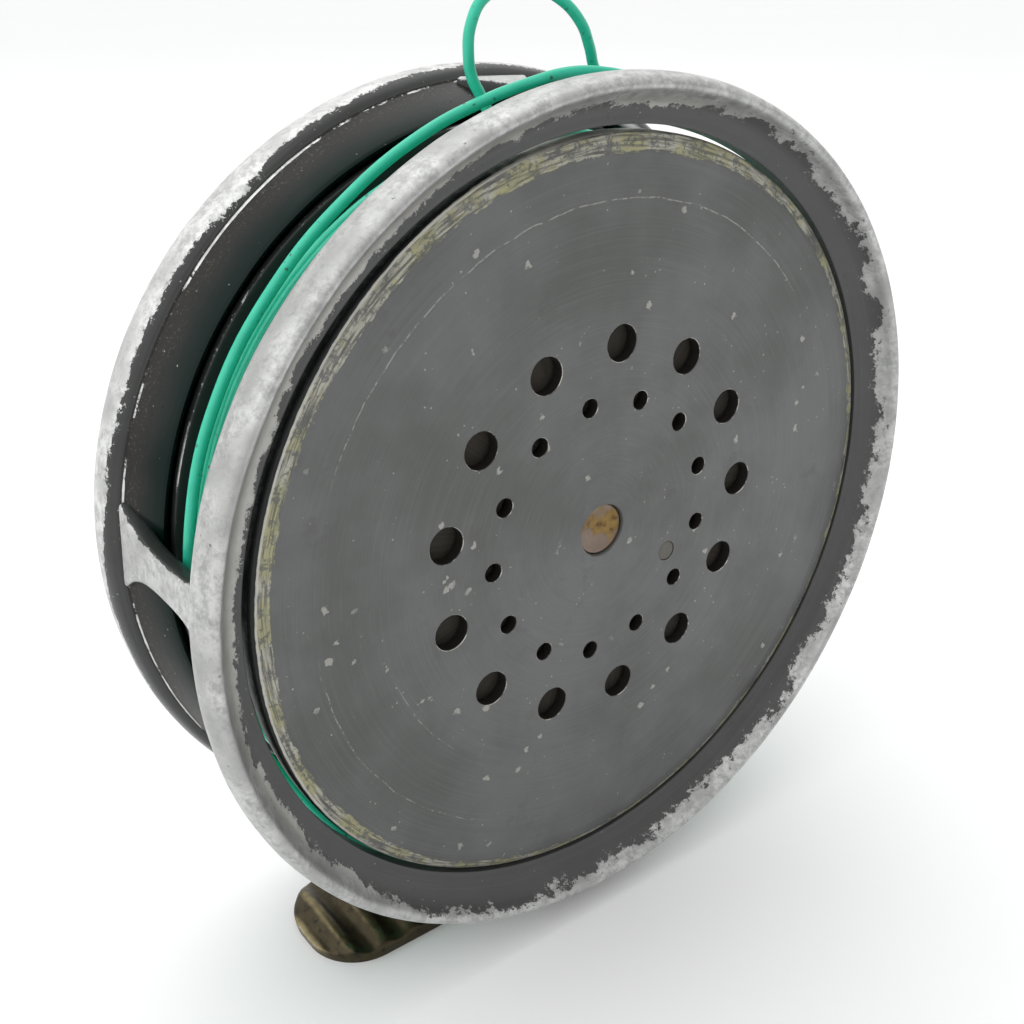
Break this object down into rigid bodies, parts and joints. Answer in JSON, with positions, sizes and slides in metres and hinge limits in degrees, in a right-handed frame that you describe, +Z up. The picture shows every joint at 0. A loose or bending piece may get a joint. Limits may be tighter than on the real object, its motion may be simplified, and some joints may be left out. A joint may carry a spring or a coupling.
{
  "type": "fly fishing reel",
  "caption": "Centre-pin fly reel: a pierced drum with wound line turns in a cast pillared cage with beaded rims, a ribbed foot and a winding plate with one handle.",
  "frame": {"origin": "on the underside of the foot, in the middle of its length and width, under the middle of the cage", "axes": "+Z up from the foot to the drum's axis, Y along the drum's axis with the open pierced side facing -Y and the handle on +Y, +X along the foot"},
  "size_m": [0.0952, 0.0535, 0.106],
  "materials": {
    "leaded_alloy": "grey leaded enamel on cast alloy, worn to bare metal along the beads and pillars",
    "drum_alloy": "dark grey leaded enamel over fine turning marks, worn at the rim",
    "foot_bronze": "dark brown bronzed brass, rubbed paler on the ribs and edges",
    "brass": "dull tarnished brass",
    "steel": "plain steel, lightly brushed",
    "green_line": "satin plastic coating with specks of dirt",
    "backing": "dark braided backing line",
    "handle_cream": "polished cream casein with fine grain"
  },
  "bodies": {
    "frame": {"cage_front_rim": "leaded_alloy", "cage_back_plate": "leaded_alloy", "cage_pillar_left": "leaded_alloy", "cage_pillar_top": "leaded_alloy", "cage_pillar_right": "leaded_alloy", "foot_seat": "leaded_alloy", "foot": "foot_bronze", "foot_screw_1": "steel", "foot_screw_2": "steel", "bearing_bush": "brass", "pawl_screw": "steel", "check_spring": "steel", "spring_screw": "steel", "loose_line_turns": "green_line", "loose_line_loop": "green_line"},
    "drum": {"drum_front_flange": "drum_alloy", "drum_arbor": "drum_alloy", "drum_back_flange": "drum_alloy", "drum_key_pin": "drum_alloy", "spindle": "brass", "backing_winding": "backing", "line_winding": "green_line", "check_wheel": "brass", "winding_plate": "drum_alloy", "winding_plate_screw": "brass", "handle_collar": "brass", "handle_post": "steel"},
    "handle": {"handle_grip": "handle_cream"},
    "check_pawl": {"check_pawl": "steel"}
  },
  "joints": [
    {"name": "drum_spin", "type": "hinge", "parent": "frame", "child": "drum", "pos_m": [0, 0, 0.0508], "axis": [0, 1, 0], "continuous": true},
    {"name": "handle_spin", "type": "hinge", "parent": "drum", "child": "handle", "pos_m": [0.02629, 0.028, 0.03437], "axis": [0, 1, 0], "continuous": true},
    {"name": "pawl_swing", "type": "hinge", "parent": "frame", "child": "check_pawl", "pos_m": [0.00892, 0.0064, 0.06758], "axis": [0, 1, 0], "range_deg": [-12, 12], "stiffness_Nm_per_rad": 0.004}
  ]
}
